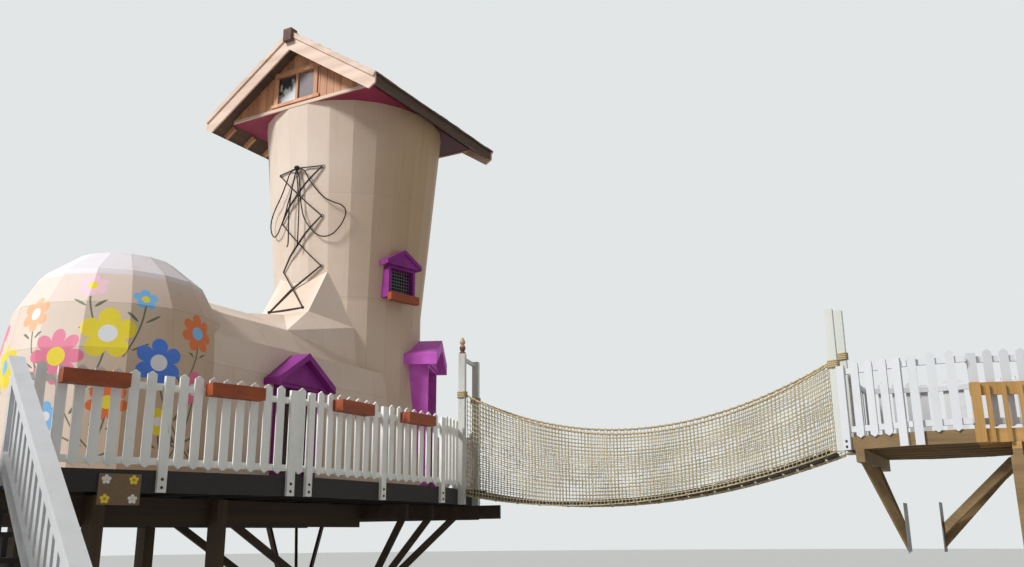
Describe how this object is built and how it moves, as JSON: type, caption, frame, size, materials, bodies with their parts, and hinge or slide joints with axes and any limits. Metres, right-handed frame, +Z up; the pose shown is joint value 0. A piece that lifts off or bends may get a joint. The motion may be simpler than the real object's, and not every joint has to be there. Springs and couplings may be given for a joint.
{
  "type": "tree house",
  "caption": "Boot-shaped tree house on a fenced deck, with a stair, a rope-net bridge and a second platform.",
  "frame": {"origin": "middle of the foot of the front deck post that stands nearest the shaft, at ground level", "axes": "+X from the toe towards the heel, +Y away from the bridge, across the deck, +Z up"},
  "size_m": [10.2426, 11.281, 8.612],
  "materials": {
    "floor_boards": "weathered",
    "dark_stain": "stained",
    "weathered_wood": "weathered",
    "steel": "galvanised",
    "white_paint": "painted, weathered",
    "cedar": "oiled",
    "sign_wood": "painted",
    "boot_skin": "painted, satin",
    "purple_paint": "painted",
    "wire": "galvanised",
    "roofing": "weathered",
    "cedar_siding": "oiled",
    "pale_fascia": "painted",
    "pane_glass": "clear",
    "rope": "laid rope",
    "rope_net": "knotted net",
    "new_wood": "unfinished",
    "lace": "braided rope"
  },
  "bodies": {
    "root": {"deck_boards": "floor_boards", "deck_rim": "dark_stain", "deck_joists": "dark_stain", "deck_beams": "dark_stain", "deck_posts": "weathered_wood", "knee_braces": "dark_stain", "brace_plates": "steel", "fence_front_left": "white_paint", "fence_front_right": "white_paint", "fence_heel": "white_paint", "fence_back": "white_paint", "fence_toe": "white_paint", "flower_boxes": "cedar", "sign_board": "sign_wood", "stair_stringers": "dark_stain", "stair_treads": "dark_stain", "stair_rails": "white_paint", "toe_dome": "boot_skin", "toe_wall": "boot_skin", "foot_vault": "boot_skin", "foot_walls": "boot_skin", "instep_panels": "boot_skin", "shaft_lower_front": "boot_skin", "shaft_lower_heel": "boot_skin", "shaft_lower_back": "boot_skin", "shaft_upper_toe": "boot_skin", "shaft_upper_front": "boot_skin", "shaft_upper_heel": "boot_skin", "shaft_upper_back": "boot_skin", "side_portal": "purple_paint", "side_portal_roof": "purple_paint", "heel_portal": "purple_paint", "heel_portal_roof": "purple_paint", "shaft_window": "purple_paint", "shaft_window_hood": "purple_paint", "window_sill": "cedar", "window_grille": "wire", "soffit": "purple_paint", "roof_front": "roofing", "roof_back": "roofing", "gable_walls": "cedar_siding", "fascia_boards": "pale_fascia", "gable_window": "cedar", "window_panes": "pane_glass", "bridge_posts": "white_paint", "bridge_ropes": "rope", "bridge_planks": "weathered_wood", "side_nets": "rope_net", "platform_floor": "floor_boards", "platform_frame": "weathered_wood", "platform_braces": "weathered_wood", "platform_fence": "white_paint", "landing_rail": "new_wood", "eyelets": "steel", "lacing": "lace", "bow_loop_right": "lace", "bow_loop_left": "lace", "lace_end_right": "lace", "lace_end_left": "lace"}
  },
  "joints": []
}
